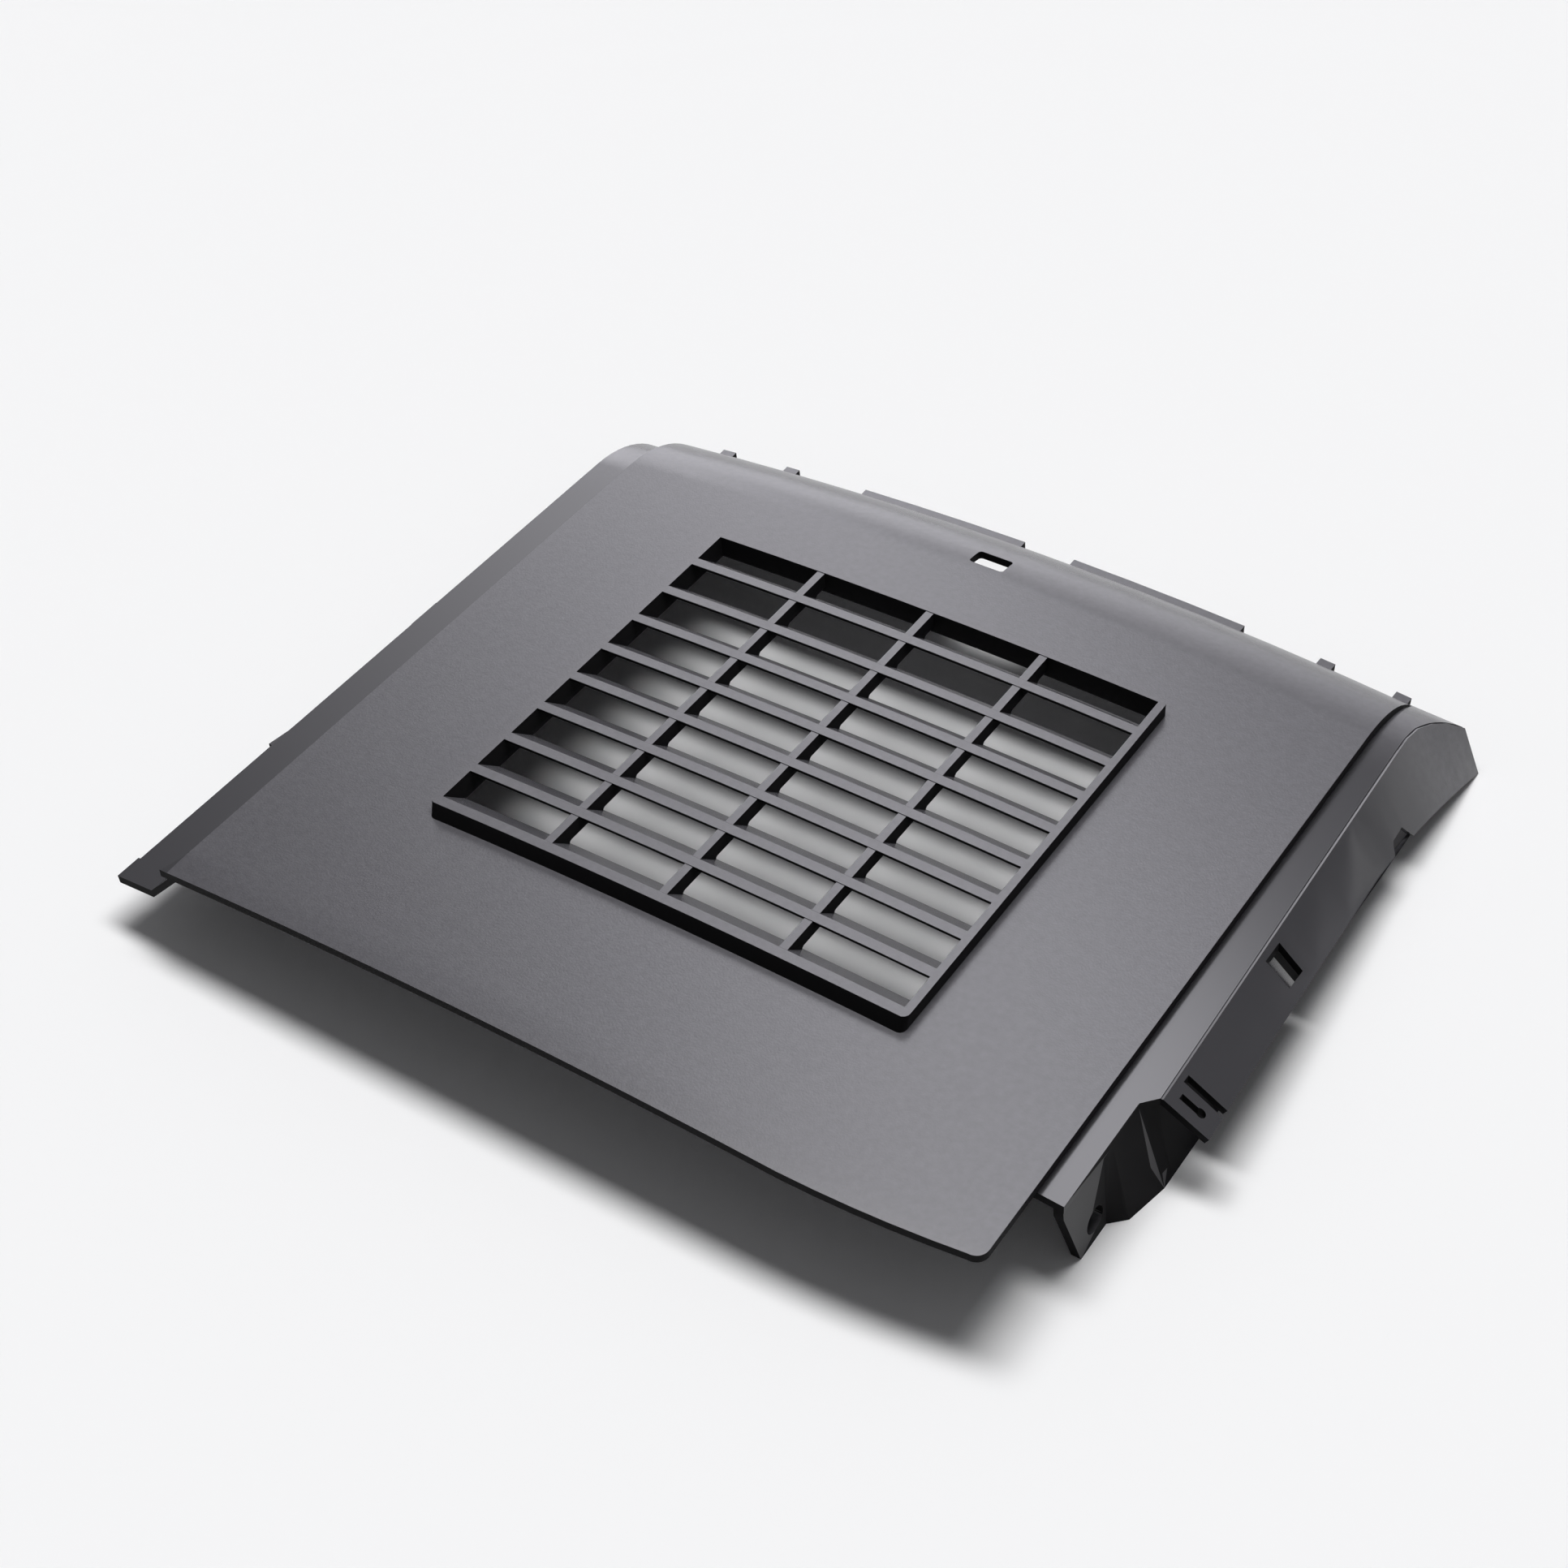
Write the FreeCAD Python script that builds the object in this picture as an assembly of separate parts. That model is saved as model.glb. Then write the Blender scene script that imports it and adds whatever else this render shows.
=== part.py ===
"""Moulded skid plate: a crowned cover with a louvred vent, a twisted skirt on one side and a ledge on the other.

Millimetres. X runs across the plate, Y from its near edge to its rolled far edge, Z up from the surface
that the side walls stand on. The sections are drawn about the middle of the plate, and the finished solid
is moved so that the origin is the centre of its box, at the bottom.
"""
import FreeCAD
import Part
import math
import os

# Plate: a thin crowned sheet whose far end rolls down
plate_width = 276.0
plate_length = 270.0
plate_height = 40.2
sheet = 2.8
crown_radius = 1893.0
shoulder_radius = 48.0
shoulder_angle = 47.0
far_bow = 3.3
lip_run = 12.0
lip_drop = 0.5
rim_overhang = 0.3
corner_run = 58.0
corner_setback = 5.5
corner_bulge = 0.35
corner_radius = 4.0
corner_flare = 3.0
corner_flare_run = 11.0

# Slot through the far shoulder
slot_width = 12.6
slot_length = 7.6
slot_from_far = 27.2
slot_corner = 1.2

# Vent: a raised frame with leaning blades and thin ribs
vent_width = 166.2
vent_length = 149.3
vent_centre_y = -2.65
vent_rise = 5.0
vent_columns = 4
vent_rows = 9
vent_side_frame = 2.5
vent_far_frame = 1.9
vent_near_draft = 2.2
vent_far_draft = 0.3
vent_corner = 2.2
rib_recess = 0.25
rib_width = 2.7
rib_depth = 5.6
rib_root_radius = 0.8
blade_top = 3.4
blade_foot = 1.6
blade_nose = 1.0
blade_depth = 7.6
blade_lean = 8.46

# Side ledges: joggled down from the plate's edges
joggle_wall = 2.5
right_ledge_drop = 4.4
right_ledge_lag = 2.0
left_ledge_drop = 12.5
left_ledge_lag = 6.5
left_joggle_run = 11.0
left_ledge_reach = 24.6
left_ledge_step = 0.9
left_ledge_step_run = 9.0
left_lug_reach = 1.9
left_lug_length = 12.5
left_lug_from_near = 69.0
left_catch_reach = 0.8
left_catch_length = 13.0
left_catch_from_near = 138.5
narrow_ledge_width = 7.5
wide_ledge_width = 12.2
ledge_from_near = 34.0
ledge_step_from_near = 74.2
ledge_step_run = 4.7
wing_ledge_width = 16.6
wing_run = 25.0
wing_curve = 1.6
crease_taper = 3.8

# Skirt: flares out from the right ledge and steepens towards the far end
skirt_sheet = 2.5
skirt_near_reach = 26.2
skirt_near_drop = 7.9
skirt_waist_reach = 20.7
skirt_waist_drop = 15.5
skirt_waist_from_far = 70.0
skirt_far_reach = 23.2
skirt_drop_curve = 1.3
skirt_fall_curve = 1.7

# Cut-outs of the skirt
slit_width = 2.8
slit_from_skirt_near = 9.0
clip_slot_width = 2.0
clip_slot_length = 5.4
clip_slot_reach = 15.0
clip_slot_from_skirt_near = 3.8
clip_hole_radius = 1.4
clip_hole_reach = 21.0
clip_hole_from_skirt_near = 5.0
snap_window_width = 8.6
snap_window_margin = 1.6
snap_window_from_skirt_near = 60.0
snap_ramp_sheet = 1.2
snap_ramp_fall = 4.5
snap_ramp_share = 0.85
notch_length = 14.0
notch_depth = 3.6
notch_slant = 3.6
notch_from_far = 61.5

# Side walls: hang from the ledges and stand on the surface below
wall_sheet = 3.0
tab_face_inset = 0.2
tab_toe_run = 8.1
tab_lean = 1.6
tab_length = 21.5
right_foot_reach = 16.5
foot_step_run = 4.5
wall_clearance_under_crease = 2.0
tab_hole_radius = 4.25
tab_hole_height = 8.0
tab_hole_from_near = 49.7

# Tongues along the far edge, in pairs about a line a little right of the plate's middle
tongue_sheet = 4.4
tongue_drop = 0.6
tongue_root = 2.0
tongue_reach = 3.9
tongue_offset = 4.2
rail_inner = 9.4
rail_length = 63.2
peg_width = 5.2
inner_peg_inset = 35.6
outer_peg_inset = 9.0

# Worked out from the driving dimensions
half_width = plate_width / 2
near_y = -plate_length / 2
far_y = plate_length / 2
shoulder = math.radians(shoulder_angle)
shoulder_start = far_y - shoulder_radius * math.sin(shoulder)
crown_axis_z = plate_height - crown_radius
bow_angle = math.atan(far_bow * 2 * crown_radius / half_width ** 2)
bow_radius = crown_radius * math.cos(bow_angle)
vent_top = plate_height + vent_rise
vent_near = vent_centre_y - vent_length / 2
vent_far = vent_centre_y + vent_length / 2
field_near = vent_near + blade_top
field_far = vent_far - vent_far_frame
field_half = vent_width / 2 - vent_side_frame
row_pitch = (field_far - field_near + blade_top) / vent_rows
column_pitch = (2 * field_half + rib_width) / vent_columns
ledge_near = near_y + ledge_from_near
skirt_near = near_y + ledge_step_from_near + ledge_step_run
wing_start = far_y - wing_run
overlap = 1.0
through = 100.0
crease_lap = 3.0
crease_trim = 0.8
slow_steps = 5
fast_steps = 10
upright_angle = 40.0

# Directions
along_x = FreeCAD.Vector(1, 0, 0)
along_y = FreeCAD.Vector(0, 1, 0)
along_z = FreeCAD.Vector(0, 0, 1)


def point(x, y, z):
    return FreeCAD.Vector(x, y, z)


def line(start, end):
    return Part.LineSegment(start, end).toShape()


def face_of(edges):
    return Part.Face(Part.Wire(Part.__sortEdges__(edges)))


def polygon(points):
    return Part.Face(Part.makePolygon(points + [points[0]]))


def around_crown(section, x_from, x_to):
    """Sweep a YZ section about the crown's axis, from one X to another."""
    start = math.degrees(math.asin(x_from / crown_radius))
    end = math.degrees(math.asin(x_to / crown_radius))
    turned = section.copy()
    turned.rotate(point(0, 0, crown_axis_z), along_y, start)
    return turned.revolve(point(0, 0, crown_axis_z), along_y, end - start)


def around_bow(section, x_from, x_to):
    """Sweep a YZ section about a leaning axis, which crowns it and bows its far end in plan."""
    lean = point(0, -math.sin(bow_angle), -math.cos(bow_angle))
    axis = point(0, math.cos(bow_angle), -math.sin(bow_angle))
    centre = point(0, 0, plate_height) + lean * bow_radius
    radius = (centre - section.CenterOfMass).dot(lean)
    start = math.degrees(math.asin(x_from / radius))
    end = math.degrees(math.asin(x_to / radius))
    turned = section.copy()
    turned.rotate(centre, axis, start)
    return turned.revolve(centre, axis, end - start)


def across(section, x_from, x_to):
    """Sweep a YZ section straight along X."""
    moved = section.copy()
    moved.translate(along_x * x_from)
    return moved.extrude(along_x * (x_to - x_from))


def profile_height(y, lag):
    """Height of the rolled profile along its middle line, with its shoulder set back by a lag."""
    past_start = y - shoulder_start - lag
    if past_start <= 0:
        return plate_height
    return plate_height - shoulder_radius + math.sqrt(shoulder_radius ** 2 - past_start ** 2)


def ledge_height(x, y):
    """Height of either side ledge's top face at a place in plan."""
    lag, drop = (right_ledge_lag, right_ledge_drop) if x > 0 else (left_ledge_lag, left_ledge_drop)
    radius = crown_radius - (plate_height - profile_height(y, lag)) - drop
    return crown_axis_z + math.sqrt(radius ** 2 - x ** 2)


def roll_angle(lag):
    """How far a shoulder rolls: never past the far edge, and never past the plate's own roll."""
    return math.asin((far_y - shoulder_start - max(lag, 0)) / shoulder_radius)


def rolled_end(lag, inset):
    """Y where a rolled curve ends."""
    return shoulder_start + lag + (shoulder_radius - inset) * math.sin(roll_angle(lag))


def rolled_curve(start_y, lowered, inset, lag):
    """A flat run and a rolled shoulder, lowered bodily, inset into the sheet and set back by a lag."""
    centre_y = shoulder_start + lag
    centre_z = plate_height - lowered - shoulder_radius
    radius = shoulder_radius - inset
    angle = roll_angle(lag)
    start = point(0, start_y, centre_z + radius)
    bend = point(0, centre_y, centre_z + radius)
    middle = point(0, centre_y + radius * math.sin(angle / 2), centre_z + radius * math.cos(angle / 2))
    end = point(0, centre_y + radius * math.sin(angle), centre_z + radius * math.cos(angle))
    return [line(start, bend), Part.Arc(bend, middle, end).toShape()], start, end


def band_between(upper_curve, lower_curve):
    """YZ section between two rolled curves."""
    upper, upper_near, upper_far = upper_curve
    lower, lower_near, lower_far = lower_curve
    return face_of(upper + lower + [line(upper_near, lower_near), line(upper_far, lower_far)])


def sheet_band(start_y, lowered, lag):
    """YZ section of one sheet that follows the rolled profile."""
    return band_between(rolled_curve(start_y, lowered, 0, lag), rolled_curve(start_y, lowered, sheet, lag))


def plan_prism(points, z_from, z_to):
    """Upright prism over a plan outline of (x, y) pairs."""
    outline = polygon([point(x, y, z_from) for x, y in points])
    return outline.extrude(along_z * (z_to - z_from))


def make_plate():
    """The crowned sheet, with a shallow lip that dips along its near edge."""
    upper, upper_bend, upper_far = rolled_curve(near_y + lip_run, 0, 0, 0)
    lower, lower_bend, lower_far = rolled_curve(near_y + lip_run, 0, sheet, 0)
    upper_near = point(0, near_y - overlap, upper_bend.z - lip_drop)
    lower_near = point(0, near_y - overlap, lower_bend.z - lip_drop)
    section = face_of(upper + lower + [
        line(upper_far, lower_far),
        line(upper_bend, upper_near),
        line(upper_near, lower_near),
        line(lower_near, lower_bend),
    ])
    blank = around_bow(section, -half_width - corner_run, half_width + corner_run)
    return blank.common(make_sides()).cut(make_near_trim())


def make_sides():
    """What the blank is trimmed to: two straight sides, the left one flaring out at its near end."""
    right_near = point(half_width, -plate_length, 0)
    right_far = point(half_width, plate_length, 0)
    left_far = point(-half_width, plate_length, 0)
    flare_start = point(-half_width, near_y + corner_flare_run, 0)
    flare_middle = point(-half_width - corner_flare / 4, near_y + corner_flare_run / 2, 0)
    flare_end = point(-half_width - corner_flare, near_y, 0)
    left_near = point(-half_width - corner_flare, -plate_length, 0)
    outline = face_of([
        line(right_near, right_far),
        line(right_far, left_far),
        line(left_far, flare_start),
        Part.Arc(flare_start, flare_middle, flare_end).toShape(),
        line(flare_end, left_near),
        line(left_near, right_near),
    ])
    return outline.extrude(along_z * through)


def make_near_trim():
    """What is cut off the near edge: straight, then a long shallow sweep that ends in a small round."""
    run_start = point(half_width - corner_run, near_y, 0)
    sweep_end_x = half_width - corner_radius
    sweep_end_y = near_y + corner_setback
    sweep_middle = point(half_width - corner_run / 2, near_y + corner_setback * corner_bulge, 0)
    sweep_end = point(sweep_end_x, sweep_end_y, 0)
    round_middle = point(
        half_width - corner_radius * (1 - math.sin(math.pi / 4)),
        sweep_end_y + corner_radius * (1 - math.cos(math.pi / 4)),
        0,
    )
    round_end = point(half_width, sweep_end_y + corner_radius, 0)
    outside_end = point(half_width + overlap, sweep_end_y + corner_radius, 0)
    outside_right = point(half_width + overlap, near_y - corner_run, 0)
    outside_left = point(-half_width - corner_run, near_y - corner_run, 0)
    straight_start = point(-half_width - corner_run, near_y, 0)
    outline = face_of([
        Part.Arc(run_start, sweep_middle, sweep_end).toShape(),
        Part.Arc(sweep_end, round_middle, round_end).toShape(),
        line(round_end, outside_end),
        line(outside_end, outside_right),
        line(outside_right, outside_left),
        line(outside_left, straight_start),
        line(straight_start, run_start),
    ])
    return outline.extrude(along_z * through)


def make_vent_frame():
    """The raised frame: a drafted block about the crown, with rounded corners and an open field."""
    base_z = plate_height - sheet / 2
    block_section = polygon([
        point(0, vent_near - vent_near_draft, base_z),
        point(0, vent_near, vent_top),
        point(0, vent_far, vent_top),
        point(0, vent_far + vent_far_draft, base_z),
    ])
    block = around_crown(block_section, -vent_width / 2, vent_width / 2)
    corners = [edge for edge in block.Edges if is_upright(edge)]
    block = block.makeFillet(vent_corner, corners)
    return block.cut(make_vent_field())


def is_upright(edge):
    return abs(edge.tangentAt(edge.FirstParameter).z) > math.cos(math.radians(upright_angle))


def make_vent_field():
    """The opening inside the vent's frame."""
    section = polygon([
        point(0, field_near, plate_height - through / 2),
        point(0, field_near, vent_top + overlap),
        point(0, field_far, vent_top + overlap),
        point(0, field_far, plate_height - through / 2),
    ])
    return around_crown(section, -field_half, field_half)


def blade_near_edge(row):
    """Y of a blade's near top edge, counted from the far row."""
    return field_far - (row + 1) * row_pitch


def blade_section(row):
    """A blade: a level land at the top, then a leaning vane that thins towards its foot."""
    near_top = blade_near_edge(row)
    far_top = near_top + blade_top
    foot_z = vent_top - blade_depth
    return polygon([
        point(0, near_top, vent_top),
        point(0, far_top, vent_top),
        point(0, far_top + blade_lean, foot_z),
        point(0, far_top + blade_lean - blade_foot, foot_z),
        point(0, near_top, vent_top - blade_nose),
    ])


def make_blades():
    return [
        around_crown(blade_section(row), -field_half - overlap, field_half + overlap)
        for row in range(vent_rows)
    ]


def rib_section():
    """A rib's side view: straight on top, scalloped below with a round root on each blade's upper face."""
    slope_length = math.hypot(blade_lean, blade_depth)
    down_blade = point(0, blade_lean / slope_length, -blade_depth / slope_length)
    into_blade = point(0, -blade_depth / slope_length, -blade_lean / slope_length) * (blade_foot / 3)
    half_angle = math.atan2(blade_depth, blade_lean) / 2
    tangent_run = rib_root_radius / math.tan(half_angle)
    bisector = point(0, math.cos(half_angle), -math.sin(half_angle))
    bottom_z = vent_top - rib_depth
    near_top = point(0, field_near - overlap, vent_top - rib_recess)
    far_top = point(0, field_far + overlap, vent_top - rib_recess)
    last = point(0, field_far + overlap, bottom_z)
    path = [line(near_top, far_top), line(far_top, last)]
    for row in range(vent_rows):
        meet = point(0, blade_near_edge(row) + blade_top + blade_lean * rib_depth / blade_depth, bottom_z)
        root_start = meet + along_y * tangent_run
        root_middle = meet + bisector * (rib_root_radius / math.sin(half_angle) - rib_root_radius)
        root_end = meet + down_blade * tangent_run + into_blade
        inner_high = meet + into_blade
        leave = point(0, inner_high.y - blade_foot / 2, bottom_z)
        path.append(line(last, root_start))
        path.append(Part.Arc(root_start, root_middle, root_end).toShape())
        path.append(line(root_end, inner_high))
        path.append(line(inner_high, leave))
        last = leave
    path.append(line(last, near_top))
    return face_of(path)


def make_ribs():
    """Straight ribs between the columns, each tilted to the crown where it stands."""
    rib = across(rib_section(), -rib_width / 2, rib_width / 2)
    first = -field_half + column_pitch - rib_width / 2
    ribs = []
    for column in range(vent_columns - 1):
        tilt = math.degrees(math.asin((first + column_pitch * column) / crown_radius))
        tilted = rib.copy()
        tilted.rotate(point(0, 0, crown_axis_z), along_y, tilt)
        ribs.append(tilted)
    return ribs


def crease_reach(y):
    """How far the right ledge's outer edge stands out from the plate's edge, along the skirt."""
    taper = wide_ledge_width - crease_taper * (y - skirt_near) / (wing_start - skirt_near)
    if y <= wing_start:
        return taper
    wing_share = (y - wing_start) / wing_run
    narrowest = wide_ledge_width - crease_taper
    return narrowest + (wing_ledge_width - narrowest) * wing_share ** wing_curve


def make_right_ledge():
    band = sheet_band(ledge_near, right_ledge_drop, right_ledge_lag)
    slab = around_crown(band, half_width - joggle_wall, half_width + 2 * wing_ledge_width)
    step_y = near_y + ledge_step_from_near
    outline = [
        (half_width - 2 * joggle_wall, ledge_near),
        (half_width + narrow_ledge_width, ledge_near),
        (half_width + narrow_ledge_width, step_y),
        (half_width + wide_ledge_width - crease_trim, skirt_near),
    ]
    outline += [(half_width + crease_reach(y) - crease_trim, y) for y in skirt_stations()[1:]]
    outline += [(half_width + wing_ledge_width - crease_trim, far_y + overlap)]
    outline += [(half_width - 2 * joggle_wall, far_y + overlap)]
    return slab.common(plan_prism(outline, -overlap, through))


def make_right_joggle():
    """The upright wall from the middle of the plate's sheet down to the right ledge."""
    upper = rolled_curve(ledge_near, 0, sheet / 2, -far_bow)
    band = band_between(upper, rolled_curve(ledge_near, right_ledge_drop, sheet, right_ledge_lag))
    outer = half_width - rim_overhang
    return around_crown(band, outer - joggle_wall, outer)


def skirt_stations():
    """Places along the skirt where its section is drawn, closer together where it bends."""
    waist = far_y - skirt_waist_from_far
    far_end = rolled_end(right_ledge_lag, 0)
    slow = [skirt_near + (waist - skirt_near) * step / slow_steps for step in range(slow_steps)]
    fast = [waist + (far_end - waist) * step / fast_steps for step in range(fast_steps + 1)]
    return slow + fast


def skirt_low_edge(y):
    """Reach and height of the skirt's lower edge: straight to the waist, then bending down to the ground."""
    waist = far_y - skirt_waist_from_far
    start_z = ledge_height(half_width + wide_ledge_width, skirt_near)
    if y <= waist:
        share = (y - skirt_near) / (waist - skirt_near)
        reach = skirt_near_reach + (skirt_waist_reach - skirt_near_reach) * share
        drop = skirt_near_drop + (skirt_waist_drop - skirt_near_drop) * share ** skirt_drop_curve
        return reach, start_z - drop
    share = (y - waist) / (far_y - waist)
    reach = skirt_waist_reach + (skirt_far_reach - skirt_waist_reach) * share
    return reach, (start_z - skirt_waist_drop) * (1 - share ** skirt_fall_curve)


def skirt_crease(y):
    x = half_width + crease_reach(y)
    return point(x, y, ledge_height(x, y))


def skirt_section(y):
    """One section of the skirt, square to Y: a leaning strip from the ledge's crease to the lower edge."""
    reach, low_z = skirt_low_edge(y)
    crease = skirt_crease(y)
    low = point(half_width + reach, y, low_z)
    run = low - crease
    inward = point(run.z, 0, -run.x).normalize() * skirt_sheet
    root = crease - point(crease_lap, 0, sheet / 4)
    return Part.makePolygon([crease, low, low + inward, crease + inward, root, crease])


def make_skirt():
    sections = [skirt_section(y) for y in skirt_stations()]
    skirt = Part.makeLoft(sections, True, True)
    ground = Part.makeBox(through, 2 * plate_length, through, point(half_width, -plate_length, -through))
    return skirt.cut(ground)


def skirt_point(y, reach, lift):
    """A point on the skirt's outer face at a reach from the plate's edge, lifted off along Z."""
    low_reach, low_z = skirt_low_edge(y)
    top_reach = crease_reach(y)
    top_z = skirt_crease(y).z
    share = (reach - top_reach) / (low_reach - top_reach)
    return point(half_width + reach, y, top_z + (low_z - top_z) * share + lift)


def make_skirt_cuts():
    """Slit, clip slot, clip hole and notch, all cut straight down through the skirt."""
    slit_y = skirt_near + slit_from_skirt_near
    slit_start = half_width + crease_reach(slit_y) + snap_window_margin
    slit_outer = half_width + skirt_near_reach + overlap
    slit = Part.makeBox(slit_outer - slit_start, slit_width, through, point(slit_start, slit_y, overlap))
    clip_y = skirt_near + clip_slot_from_skirt_near
    clip_slot = Part.makeBox(
        clip_slot_length,
        clip_slot_width,
        through,
        point(half_width + clip_slot_reach, clip_y, overlap),
    )
    hole_y = skirt_near + clip_hole_from_skirt_near
    clip_hole = Part.makeCylinder(
        clip_hole_radius,
        through,
        point(half_width + clip_hole_reach, hole_y, overlap),
    )
    return [slit, clip_slot, clip_hole, make_notch()]


def make_notch():
    """A shallow bite with slanted ends, out of the skirt's lower edge."""
    start_y = far_y - notch_from_far
    end_y = start_y + notch_length
    reach, low_z = skirt_low_edge((start_y + end_y) / 2)
    start_z = skirt_low_edge(start_y)[1] - overlap
    end_z = skirt_low_edge(end_y)[1] - overlap
    top_z = low_z + notch_depth
    bite = polygon([
        point(0, start_y, start_z),
        point(0, start_y + notch_slant, top_z),
        point(0, end_y - notch_slant, top_z),
        point(0, end_y, end_z),
    ])
    return across(bite, half_width + reach - 2 * notch_depth, half_width + reach + through)


def make_snap_window():
    """The window cut through the skirt below the crease."""
    start_y = skirt_near + snap_window_from_skirt_near
    reach, low_z = skirt_low_edge(start_y)
    x_from = half_width + crease_reach(start_y) + snap_window_margin
    x_to = half_width + reach - 2 * snap_window_margin
    return Part.makeBox(x_to - x_from, snap_window_width, through, point(x_from, start_y, overlap))


def make_snap_ramp():
    """A tongue in the window that falls away from its near edge."""
    start_y = skirt_near + snap_window_from_skirt_near
    end_y = start_y + snap_window_width * snap_ramp_share
    low_reach = skirt_low_edge(start_y)[0]
    reach_in = crease_reach(start_y) + snap_window_margin - overlap
    reach_out = low_reach - 2 * snap_window_margin + overlap
    sink = skirt_sheet / 2
    near_in = skirt_point(start_y, reach_in, -sink)
    near_out = skirt_point(start_y, reach_out, -sink)
    far_in = skirt_point(end_y, reach_in, -sink - snap_ramp_fall)
    far_out = skirt_point(end_y, reach_out, -sink - snap_ramp_fall)
    drop = along_z * snap_ramp_sheet
    near_edge = Part.makePolygon([near_in, near_out, near_out - drop, near_in - drop, near_in])
    far_edge = Part.makePolygon([far_in, far_out, far_out - drop, far_in - drop, far_in])
    return Part.makeLoft([near_edge, far_edge], True, True)


def wall_section(y, top_reach, foot_reach, side):
    """One section of a side wall, square to Y, from inside the ledge down to the ground."""
    flat_z = ledge_height(side * (half_width + top_reach), ledge_near) - sheet / 2
    top_z = ledge_height(side * (half_width + top_reach), y) - sheet / 2
    lean = (foot_reach - top_reach) * (1 - top_z / flat_z)
    outer_top = point(side * (half_width + top_reach + lean), y, top_z)
    outer_foot = point(side * (half_width + foot_reach), y, 0)
    inner_foot = outer_foot - along_x * side * wall_sheet
    inner_top = outer_top - along_x * side * wall_sheet
    return Part.makePolygon([outer_top, outer_foot, inner_foot, inner_top, outer_top])


def make_wall(stations, side):
    """A side wall as straight stretches between sections."""
    sections = [wall_section(y, top, foot, side) for y, top, foot in stations]
    wall = Part.makeLoft(sections, True, True)
    return wall.cut(make_toe_trim()).cut(make_tab_hole(side))


def make_toe_trim():
    """The slanted near edge of the tab on each wall."""
    toe_z = ledge_height(half_width + narrow_ledge_width, ledge_near) - 2 * sheet
    toe = polygon([
        point(0, ledge_near - overlap, toe_z),
        point(0, ledge_near, toe_z),
        point(0, ledge_near + tab_toe_run, -overlap),
        point(0, ledge_near - overlap, -overlap),
    ])
    return across(toe, -2 * plate_width, 2 * plate_width)


def make_tab_hole(side):
    start = point(side * half_width / 2, near_y + tab_hole_from_near, tab_hole_height)
    return Part.makeCylinder(tab_hole_radius, plate_width, start, along_x * side)


def make_right_wall():
    tab_end = ledge_near + tab_length
    tab_top = narrow_ledge_width - tab_face_inset
    tab_foot = tab_top + tab_lean
    step_y = near_y + ledge_step_from_near
    under_crease = wide_ledge_width - wall_clearance_under_crease
    far_top = wide_ledge_width - crease_taper - wall_clearance_under_crease
    far_end = rolled_end(right_ledge_lag, sheet)
    roll_start = shoulder_start + right_ledge_lag
    stations = [
        (ledge_near, tab_top, tab_foot),
        (tab_end, tab_top, tab_foot),
        (tab_end + foot_step_run, tab_top, right_foot_reach - wall_sheet),
        (step_y, tab_top, right_foot_reach),
        (skirt_near, under_crease, right_foot_reach),
        (roll_start, far_top, right_foot_reach),
        ((roll_start + far_end) / 2, far_top, right_foot_reach),
        (far_end, far_top, right_foot_reach),
    ]
    return make_wall(stations, 1)


def make_left_wall():
    tab_top = left_joggle_run + wall_sheet
    tab_foot = tab_top + tab_lean
    far_end = rolled_end(left_ledge_lag, sheet)
    roll_start = shoulder_start + left_ledge_lag
    places = [ledge_near, roll_start, (roll_start + far_end) / 2, far_end]
    return make_wall([(y, tab_top, tab_foot) for y in places], -1)


def make_left_ledge():
    """The left ledge: a low strip beside the plate, with a stepped outer edge."""
    outer = -half_width - left_ledge_reach
    band = sheet_band(near_y, left_ledge_drop, left_ledge_lag)
    slab = around_crown(band, outer - overlap, -half_width - left_joggle_run)
    step_y = near_y + left_ledge_step_run
    outline = [
        (-half_width, near_y - overlap),
        (outer, near_y - overlap),
        (outer, step_y),
        (outer + left_ledge_step, step_y),
        (outer + left_ledge_step, far_y + overlap),
        (-half_width, far_y + overlap),
    ]
    return slab.common(plan_prism(outline, -overlap, through))


def crown_section(section, x):
    """A section turned about the crown's axis to stand at x."""
    moved = section.copy()
    moved.rotate(point(0, 0, crown_axis_z), along_y, math.degrees(math.asin(x / crown_radius)))
    return moved.OuterWire


def make_left_joggle():
    """The leaning sheet from inside the plate's left edge, out and down to the ledge."""
    upper = sheet_band(near_y, sheet / 4, -far_bow)
    lower = sheet_band(near_y, left_ledge_drop, left_ledge_lag)
    return Part.makeLoft([
        crown_section(upper, -half_width + joggle_wall),
        crown_section(lower, -half_width - left_joggle_run),
    ], True, True)


def make_left_lugs():
    """A wedge that hooks outwards from the left ledge, and a smaller catch beyond it."""
    edge_x = -half_width - left_ledge_reach + left_ledge_step
    top_z = ledge_height(edge_x, near_y)
    lug_y = near_y + left_lug_from_near
    lug = [
        (edge_x + overlap, lug_y),
        (edge_x - left_lug_reach, lug_y),
        (edge_x, lug_y + left_lug_length),
        (edge_x + overlap, lug_y + left_lug_length),
    ]
    catch_y = near_y + left_catch_from_near
    catch = [
        (edge_x + overlap, catch_y),
        (edge_x - left_catch_reach, catch_y),
        (edge_x - left_catch_reach, catch_y + left_catch_length),
        (edge_x + overlap, catch_y + left_catch_length),
    ]
    return [plan_prism(outline, top_z - sheet * 3 / 4, top_z - sheet / 4) for outline in (lug, catch)]


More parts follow.
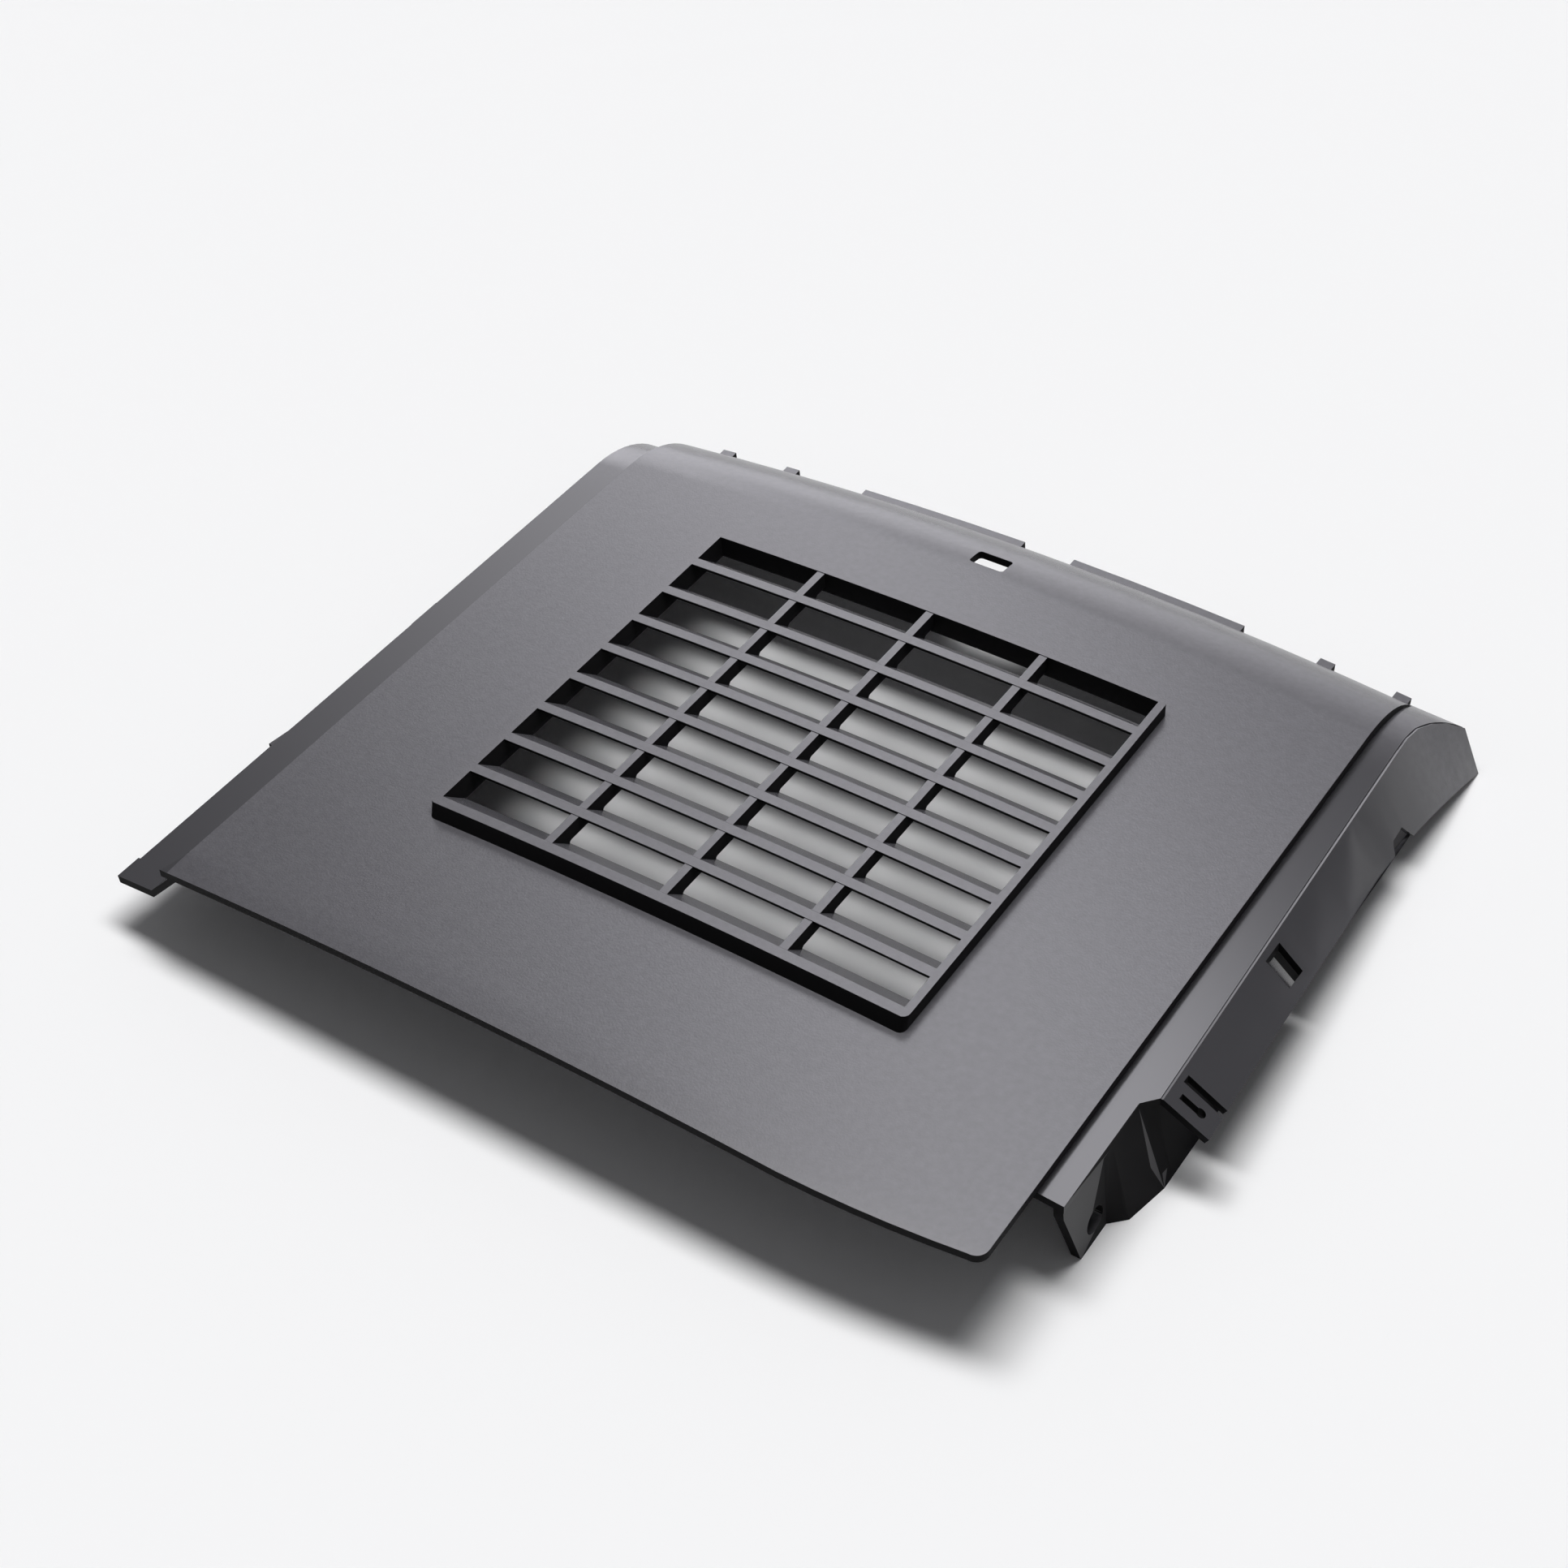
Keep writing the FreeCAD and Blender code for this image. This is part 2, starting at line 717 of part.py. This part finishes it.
def make_tongues():
    """Level rails and pegs that stand out from the far edge and follow its bow."""
    edge_y = rolled_end(0, 0)
    top_z = plate_height - shoulder_radius * (1 - math.cos(shoulder)) - tongue_drop
    section = polygon([
        point(0, edge_y - tongue_root, top_z),
        point(0, edge_y + tongue_reach, top_z),
        point(0, edge_y + tongue_reach, top_z - tongue_sheet),
        point(0, edge_y - tongue_root, top_z - tongue_sheet),
    ])
    spans = [(rail_inner, rail_inner + rail_length)]
    for inset in (inner_peg_inset, outer_peg_inset):
        middle = half_width - inset
        spans.append((middle - peg_width / 2, middle + peg_width / 2))
    rights = [around_bow(section, tongue_offset + start, tongue_offset + end) for start, end in spans]
    lefts = [around_bow(section, tongue_offset - end, tongue_offset - start) for start, end in spans]
    return rights + lefts


def make_slot():
    """The slot through the far shoulder, with rounded corners."""
    centre_y = far_y - slot_from_far
    slot = Part.makeBox(
        slot_width,
        slot_length,
        through,
        point(-slot_width / 2, centre_y - slot_length / 2, 0),
    )
    return slot.makeFillet(slot_corner, [edge for edge in slot.Edges if is_upright(edge)])


def make_skid_plate():
    vent = [make_vent_frame()] + make_blades() + make_ribs()
    skirt = make_skirt().cut(Part.makeCompound(make_skirt_cuts() + [make_snap_window()]))
    right = [make_right_joggle(), make_right_ledge(), skirt, make_snap_ramp(), make_right_wall()]
    left = [make_left_joggle(), make_left_ledge(), make_left_wall()] + make_left_lugs()
    plate = make_plate().cut(make_vent_field())
    whole = plate.fuse(vent + right + left + make_tongues())
    return whole.cut(make_slot()).removeSplitter()


skid_plate = make_skid_plate()
box = skid_plate.optimalBoundingBox(False)
skid_plate.translate(point(-box.Center.x, -box.Center.y, -box.ZMin))
os.makedirs("parts", exist_ok=True)
skid_plate.exportStep("parts/skid_plate.step")
print("solids", len(skid_plate.Solids), "valid", skid_plate.isValid(), "volume", round(skid_plate.Volume))
print("box", box)
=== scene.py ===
# %% [markdown]
# # A moulded skid plate with a louvred vent
# This lesson dresses one injection-moulded cover. The solid comes ready made, at its real size, as one
# piece with its vent, ledges, skirt and walls. What Blender adds is the skin of the moulding: even
# shading over the curves, a fine grain on the plate, smoother flanges, dull walls darkened with painted
# shade, a painted highlight on the far wing, and the light of a plain studio.

# %% Load the solid
import bpy
import math
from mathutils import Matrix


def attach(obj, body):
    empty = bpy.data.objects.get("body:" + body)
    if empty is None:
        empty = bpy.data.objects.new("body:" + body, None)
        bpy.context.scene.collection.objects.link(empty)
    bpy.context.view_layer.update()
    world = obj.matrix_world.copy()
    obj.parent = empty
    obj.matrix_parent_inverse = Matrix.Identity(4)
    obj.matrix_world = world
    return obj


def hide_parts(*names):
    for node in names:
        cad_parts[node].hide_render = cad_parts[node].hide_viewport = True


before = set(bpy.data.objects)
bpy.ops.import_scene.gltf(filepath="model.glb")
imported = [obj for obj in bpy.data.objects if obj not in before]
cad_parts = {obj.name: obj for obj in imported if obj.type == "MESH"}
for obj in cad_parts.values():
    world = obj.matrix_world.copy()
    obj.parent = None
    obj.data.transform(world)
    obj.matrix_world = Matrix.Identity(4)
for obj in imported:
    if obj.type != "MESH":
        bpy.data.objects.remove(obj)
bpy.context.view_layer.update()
MM = 0.001

# %% [markdown]
# ## The moulding's skin
# The solid arrives as loose triangles with normals of their own. A copy drops those normals and is
# welded, so that light can run smoothly over the crown and the rolled shoulder, while real corners stay
# sharp: smoothing by angle tells the two apart. The triangles differ a lot in size, so each corner's
# normal is then weighted by the area of the faces around it. Large calm faces win, and thin slivers along
# the cut-outs leave no smears of light. Modelling the plate again by hand would give the same shape
# twice, so the solid's own mesh is used.

# %% Weld a copy of the solid and smooth it by angle
WELD_DISTANCE = 0.005 * MM
SMOOTH_ANGLE = math.radians(24)
AREA_WEIGHT = 100


def select_only(piece):
    bpy.ops.object.select_all(action="DESELECT")
    piece.select_set(True)
    bpy.context.view_layer.objects.active = piece


def welded_copy(node, name):
    """A copy of a CAD node with shared vertices and smooth shading that breaks at real corners."""
    piece = bpy.data.objects.new(name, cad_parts[node].data.copy())
    bpy.context.collection.objects.link(piece)
    select_only(piece)
    bpy.ops.mesh.customdata_custom_splitnormals_clear()
    bpy.ops.object.mode_set(mode="EDIT")
    bpy.ops.mesh.select_all(action="SELECT")
    bpy.ops.mesh.remove_doubles(threshold=WELD_DISTANCE)
    bpy.ops.object.mode_set(mode="OBJECT")
    bpy.ops.object.shade_smooth_by_angle(angle=SMOOTH_ANGLE, keep_sharp_edges=False)
    normals = piece.modifiers.new("even light", "WEIGHTED_NORMAL")
    normals.mode = "FACE_AREA"
    normals.weight = AREA_WEIGHT
    normals.keep_sharp = True
    return piece


moulding = welded_copy("skid_plate", "moulding")
print("moulding", len(moulding.data.vertices), "vertices", len(moulding.data.polygons), "faces")

# %% [markdown]
# ## Short calls for node trees
# Every finish, lamp and room below is a tree of nodes. Adding a node, setting its sockets and joining it
# takes several lines each time, so a small class does it in one call. A socket is fed either a plain
# value or another node's output, and one method takes care of both.

# %% Node helpers
class Wiring:
    """A few short calls that add nodes to a tree and join them."""

    def __init__(self, tree):
        self.tree = tree

    def node(self, kind, **settings):
        made = self.tree.nodes.new(kind)
        for name, value in settings.items():
            setattr(made, name, value)
        return made

    def feed(self, socket, value):
        """Give a socket a plain value, or join another node's output to it."""
        if isinstance(value, bpy.types.NodeSocket):
            self.tree.links.new(value, socket)
        else:
            socket.default_value = value

    def axes(self, vector):
        """The three numbers of a place or a direction, as outputs named X, Y and Z."""
        made = self.node("ShaderNodeSeparateXYZ")
        self.feed(made.inputs["Vector"], vector)
        return made.outputs

    def math(self, operation, first, second=0.0):
        made = self.node("ShaderNodeMath", operation=operation)
        self.feed(made.inputs[0], first)
        self.feed(made.inputs[1], second)
        return made.outputs["Value"]

    def product(self, first, second):
        return self.math("MULTIPLY", first, second)

    def fade(self, value, span, first=0.0, last=1.0):
        """A number that goes softly from the first to the last while the value crosses the span."""
        made = self.node("ShaderNodeMapRange", interpolation_type="SMOOTHSTEP")
        names = ("Value", "From Min", "From Max", "To Min", "To Max")
        for name, given in zip(names, (value, *span, first, last)):
            self.feed(made.inputs[name], given)
        return made.outputs["Result"]

    def mix(self, kind, factor, first, second):
        """The first colour or number where the factor is 0, and the second where it is 1."""
        made = self.node("ShaderNodeMix", data_type=kind)
        for name, given in zip(("Factor", "A", "B"), (factor, first, second)):
            self.feed(made.inputs[name], given)
        return made.outputs["Result"]

    def noise(self, place, scale, detail):
        made = self.node("ShaderNodeTexNoise")
        for name, given in zip(("Vector", "Scale", "Detail"), (place, scale, detail)):
            self.feed(made.inputs[name], given)
        return made.outputs["Fac"]


print("node helpers", [name for name in vars(Wiring) if not name.startswith("_")])

# %% [markdown]
# ## One plastic, two finishes, painted highlight and painted shade
# The whole part is one shot of charcoal plastic. The mould is spark-eroded where the plate and the top of
# the vent are formed, which leaves a fine grain that scatters light and looks lighter. The far wing takes
# the same lighter grained colour as a painted highlight for the light on its rolled end. The ledges, the
# skirt and the underside come off a smoother steel and look darker, and their upright faces darker still,
# as painted shade. The upright walls are drawn dull by the steel as the part leaves the mould; their
# near-black colour is painted shade.
#
# A picture of grain could be wrapped over the part, but it would need unwrapping and would stretch on the
# roll. Noise on Object coordinates has a size in metres and needs neither. A mask finds the grained skin
# by its place and direction: inside the plate's outline and facing up. It also takes in the far end of the
# skirt, where the wing is, to lay the painted highlight there.

# %% The mask and height of the grain, the wing's painted highlight and the upright measure
GRAIN_AND_SHADE_OUTPUTS = ("Mask", "Height", "Upright", "Mottle")
GRAIN_DEPTH = 0.03 * MM
FINE_SCALE = 1500.0
FINE_DETAIL = 2.0
MOTTLE_SCALE = 420.0
MOTTLE_DETAIL = 4.0
PLATE_MIDDLE_X = -0.3 * MM
PLATE_HALF_WIDTH = 137.9 * MM
PLATE_TURN = (0.5, 0.66)
# The far wing takes the lighter grained colour as a painted highlight for the light on its rolled end.
WING_HIGHLIGHT_SPAN_Y = (84 * MM, 118 * MM)
WING_HIGHLIGHT_TURN = (0.15, 0.35)
UPRIGHT_TURN = (0.25, 0.5)


def grain_and_wing_highlight_mask(wiring, place, up):
    """1 on the grained plate and on the wing, where the grained colour is a painted highlight; 0 on the
    smooth skin.
    """
    from_middle = wiring.math("ABSOLUTE", wiring.math("SUBTRACT", place["X"], PLATE_MIDDLE_X))
    inside = wiring.math("LESS_THAN", from_middle, PLATE_HALF_WIDTH)
    plate = wiring.product(inside, wiring.fade(up, PLATE_TURN))
    outside = wiring.math("SUBTRACT", 1.0, inside)
    far_end = wiring.product(outside, wiring.fade(place["Y"], WING_HIGHLIGHT_SPAN_Y))
    # Painted highlight: the wing gets the lighter grained colour.
    wing = wiring.product(far_end, wiring.fade(up, WING_HIGHLIGHT_TURN))
    return wiring.math("MAXIMUM", plate, wing)


def make_grain_and_painted_light_group():
    """A node group: how much grain or wing highlight a place has, the grain's height, how upright the skin
    is, and a mottle.
    """
    group = bpy.data.node_groups.new("moulded grain and painted light", "ShaderNodeTree")
    for name in GRAIN_AND_SHADE_OUTPUTS:
        group.interface.new_socket(name, in_out="OUTPUT", socket_type="NodeSocketFloat")
    wiring = Wiring(group)
    place = wiring.node("ShaderNodeTexCoord").outputs["Object"]
    up = wiring.axes(wiring.node("ShaderNodeNewGeometry").outputs["Normal"])["Z"]
    mask = grain_and_wing_highlight_mask(wiring, wiring.axes(place), up)
    fine = wiring.noise(place, FINE_SCALE, FINE_DETAIL)
    height = wiring.product(wiring.product(fine, mask), GRAIN_DEPTH)
    # Upright faces of the smooth skin get a darker colour from this, as painted shade, and a higher
    # roughness.
    upright = wiring.math("SUBTRACT", 1.0, wiring.fade(wiring.math("ABSOLUTE", up), UPRIGHT_TURN))
    mottle = wiring.noise(place, MOTTLE_SCALE, MOTTLE_DETAIL)
    sink = wiring.node("NodeGroupOutput")
    for name, value in zip(GRAIN_AND_SHADE_OUTPUTS, (mask, height, upright, mottle)):
        wiring.feed(sink.inputs[name], value)
    return group


grain_and_painted_light_group = make_grain_and_painted_light_group()
print("group", grain_and_painted_light_group.name, "puts out", GRAIN_AND_SHADE_OUTPUTS)

# %% The plastic of the skin
GRAIN_PEAKS = (0.104, 0.102, 0.112, 1)
GRAIN_PITS = (0.07, 0.068, 0.076, 1)
SMOOTH = (0.056, 0.055, 0.06, 1)
# Painted shade: the darker colour of upright smooth faces.
SMOOTH_UPRIGHT_SHADE = (0.02, 0.0195, 0.021, 1)
GRAINED_ROUGHNESS = 0.27
SMOOTH_ROUGHNESS = 0.17
UPRIGHT_ROUGHNESS = 0.6
ONE_METRE = 1.0


def make_skin():
    material = bpy.data.materials.new("charcoal_skin")
    material.use_nodes = True
    wiring = Wiring(material.node_tree)
    shader = material.node_tree.nodes["Principled BSDF"]
    grain = wiring.node("ShaderNodeGroup", node_tree=grain_and_painted_light_group).outputs
    # Upright smooth faces fade to the darker colour: painted shade.
    plain = wiring.mix("RGBA", grain["Upright"], SMOOTH, SMOOTH_UPRIGHT_SHADE)
    grained = wiring.mix("RGBA", grain["Mottle"], GRAIN_PITS, GRAIN_PEAKS)
    wiring.feed(shader.inputs["Base Color"], wiring.mix("RGBA", grain["Mask"], plain, grained))
    dull = wiring.mix("FLOAT", grain["Upright"], SMOOTH_ROUGHNESS, UPRIGHT_ROUGHNESS)
    wiring.feed(shader.inputs["Roughness"], wiring.mix("FLOAT", grain["Mask"], dull, GRAINED_ROUGHNESS))
    bump = wiring.node("ShaderNodeBump")
    wiring.feed(bump.inputs["Distance"], ONE_METRE)
    wiring.feed(bump.inputs["Height"], grain["Height"])
    wiring.feed(shader.inputs["Normal"], bump.outputs["Normal"])
    return material


skin = make_skin()
print("material", skin.name, len(skin.node_tree.nodes), "nodes")

# %% [markdown]
# ## Walls darkened with painted shade
# The walls meet the skin at sharp corners, so no face is both. Each face can therefore take one of two
# materials as a whole, picked by how steeply it stands, and the wall's plastic stays plain. Its near-black
# colour is painted shade for the upright walls. The skirt and the outer face of the right tab are steep
# too, yet they are smooth on the real part, so they keep the skin and its lighter painted shade for
# upright faces.

# %% The plastic of the walls, coloured with painted shade
# Painted shade: a near-black colour for the upright walls, which are the same charcoal plastic.
WALL_SHADE_COLOUR = (0.008, 0.0078, 0.0084, 1)
WALL_ROUGHNESS = 0.6
WALL_SPECULAR = 0.04


def make_plain_plastic(name, colour, roughness, specular):
    material = bpy.data.materials.new(name)
    material.use_nodes = True
    shader = material.node_tree.nodes["Principled BSDF"]
    shader.inputs["Base Color"].default_value = colour
    shader.inputs["Roughness"].default_value = roughness
    shader.inputs["Specular IOR Level"].default_value = specular
    return material


wall_shade_plastic = make_plain_plastic("charcoal_walls_painted_shade", WALL_SHADE_COLOUR, WALL_ROUGHNESS, WALL_SPECULAR)
print("material", wall_shade_plastic.name)

# %% Dress the moulding
SKIN_SLOT = 0
WALL_SLOT = 1
WALL_TURN = 0.42
SKIRT_TURN = 0.3
TAB_END_Y = -89 * MM
TAB_TURN = 0.9


def is_wall(face):
    """Upright faces are walls and take the painted shade, but for the steep skirt and the outer face of the
    right tab.
    """
    outside = face.center.x > PLATE_HALF_WIDTH and face.normal.x > 0
    on_tab = outside and face.center.y < TAB_END_Y and face.normal.x > TAB_TURN
    steepest = SKIRT_TURN if outside else WALL_TURN
    return abs(face.normal.z) < steepest and not on_tab


moulding.data.materials.clear()
moulding.data.materials.append(skin)
moulding.data.materials.append(wall_shade_plastic)
for face in moulding.data.polygons:
    # Faces picked as walls take the painted shade.
    face.material_index = WALL_SLOT if is_wall(face) else SKIN_SLOT
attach(moulding, "root")
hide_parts("skid_plate")
walls = [face for face in moulding.data.polygons if face.material_index == WALL_SLOT]
print("wall faces", len(walls), "of", len(moulding.data.polygons))

# %% [markdown]
# ## Floor and light
# The cover lies on a white sweep under a strip light that hangs across it, less than a metre up. A strip
# casts two kinds of shadow edge: crisp where the edge runs along the strip, as at the near lip, and soft
# where it runs across it, as beside the skirt. A distant sun would give one kind only. A row of round
# lamps gives both. Lamps this close would leave the floor darker at the rim of the picture, so each one
# loses no strength with distance and is stronger the further it shines aside. Light also falls through
# the louvres and draws pale patches on the floor.

# %% Floor
FLOOR_SIZE = 12.0
FLOOR_COLOUR = (0.905, 0.905, 0.912, 1)
FLOOR_ROUGHNESS = 0.9
FLOOR_SPECULAR = 0.0


def make_floor():
    bpy.ops.object.select_all(action="DESELECT")
    bpy.ops.mesh.primitive_plane_add(size=FLOOR_SIZE, location=(0, 0, 0))
    floor = bpy.context.object
    floor.name = "floor"
    sweep = make_plain_plastic("white_sweep", FLOOR_COLOUR, FLOOR_ROUGHNESS, FLOOR_SPECULAR)
    floor.data.materials.append(sweep)
    print("floor", floor.dimensions[:])


make_floor()

# %% Lamps
LAMP_COUNT = 5
LAMP_MIDDLE = (0.03, 0.03, 0.85)
LAMP_SPACING = 0.1
LAMP_RADIUS = 0.12
LAMP_STRENGTH = 34.6
LOWEST_COSINE = 0.1


def make_lamp(name, place):
    data = bpy.data.lights.new(name, "POINT")
    data.energy = 1.0
    data.shadow_soft_size = LAMP_RADIUS
    data.use_nodes = True
    wiring = Wiring(data.node_tree)
    down = wiring.axes(wiring.node("ShaderNodeTexCoord").outputs["Normal"])["Z"]
    cosine = wiring.math("MAXIMUM", wiring.math("ABSOLUTE", down), LOWEST_COSINE)
    falloff = wiring.node("ShaderNodeLightFalloff")
    wiring.feed(falloff.inputs["Strength"], wiring.math("DIVIDE", LAMP_STRENGTH / LAMP_COUNT, cosine))
    wiring.feed(data.node_tree.nodes["Emission"].inputs["Strength"], falloff.outputs["Constant"])
    lamp = bpy.data.objects.new(name, data)
    bpy.context.collection.objects.link(lamp)
    lamp.location = place
    return lamp


for number in range(LAMP_COUNT):
    shift = (number - (LAMP_COUNT - 1) / 2) * LAMP_SPACING
    place = (LAMP_MIDDLE[0] + shift, LAMP_MIDDLE[1], LAMP_MIDDLE[2])
    print(make_lamp("strip_lamp_%d" % number, place).name, place)

# %% [markdown]
# ## The room
# The eye sees a white room. A glossy skin mirrors something else: a long bright panel that hangs above
# and behind the part, with a dark edge towards the right, and a paler wall low behind it. The panel is a
# band of directions, so its picture slides along the ledges and over the rolled shoulder as the surface
# turns. All other light from the room is a dim fill, so that shadows stay deep without going black. Real
# panels could stand in the scene, but a world that depends on direction needs no objects and can't get
# between the camera and the part.

# %% World
ROOM_WHITE = FLOOR_COLOUR
ROOM_FILL = (0.14, 0.14, 0.143, 1)
ROOM_TINT = (1.0, 0.99, 1.05)
PANEL_LIGHT = 7.2
PANEL_TILT = 0.297
PANEL_RISE = (0.177, 0.615)
PANEL_FALL = (0.531, 0.614)
PANEL_SIDE = (-0.7, -0.2)
PANEL_LEFT_SHARE = 0.57
BACK_LIGHT = 2.7
BACK_RISE = (0.706, 0.792)
BACK_SIDE = (-0.5, -0.1)
BACK_RIGHT_SHARE = 0.45


def mirrored_light(wiring):
    """The colour of the room in a mirror, by direction."""
    direction = wiring.axes(wiring.node("ShaderNodeTexCoord").outputs["Generated"])
    side = direction["X"]
    back = direction["Y"]
    across = wiring.math("ADD", back, wiring.product(side, PANEL_TILT))
    panel = wiring.fade(across, PANEL_RISE, 0.0, PANEL_LIGHT)
    panel = wiring.product(panel, wiring.fade(across, PANEL_FALL, 1.0, 0.0))
    panel = wiring.product(panel, wiring.fade(side, PANEL_SIDE, PANEL_LEFT_SHARE, 1.0))
    wall = wiring.fade(back, BACK_RISE, 0.0, BACK_LIGHT)
    wall = wiring.product(wall, wiring.fade(side, BACK_SIDE, 1.0, BACK_RIGHT_SHARE))
    tinted = wiring.node("ShaderNodeVectorMath", operation="SCALE")
    wiring.feed(tinted.inputs[0], ROOM_TINT)
    wiring.feed(tinted.inputs["Scale"], wiring.math("ADD", panel, wall))
    return tinted.outputs["Vector"]


def make_world():
    world = bpy.data.worlds.new("studio")
    bpy.context.scene.world = world
    world.use_nodes = True
    wiring = Wiring(world.node_tree)
    path = wiring.node("ShaderNodeLightPath").outputs
    unseen = wiring.mix("RGBA", path["Is Glossy Ray"], ROOM_FILL, mirrored_light(wiring))
    room = wiring.mix("RGBA", path["Is Camera Ray"], unseen, ROOM_WHITE)
    wiring.feed(world.node_tree.nodes["Background"].inputs["Color"], room)
    print("world", world.name, len(world.node_tree.nodes), "nodes")


make_world()

# %% [markdown]
# ## Camera
# The camera stands where the photograph was taken from, worked out from the straight lines of the vent's
# grid.

# %% Camera
CAMERA_PLACE = (0.3418, -0.46985, 0.5702)
CAMERA_TURN = (46.84, 3.145, 33.996)
LENS = 60.0
SENSOR_WIDTH = 36.0


def make_camera():
    data = bpy.data.cameras.new("camera")
    data.lens = LENS
    data.sensor_width = SENSOR_WIDTH
    camera = bpy.data.objects.new("camera", data)
    bpy.context.collection.objects.link(camera)
    camera.location = CAMERA_PLACE
    camera.rotation_euler = [math.radians(angle) for angle in CAMERA_TURN]
    bpy.context.scene.camera = camera
    print("camera", CAMERA_PLACE)


make_camera()
bpy.context.scene.view_settings.view_transform = "Standard"

# %% [markdown]
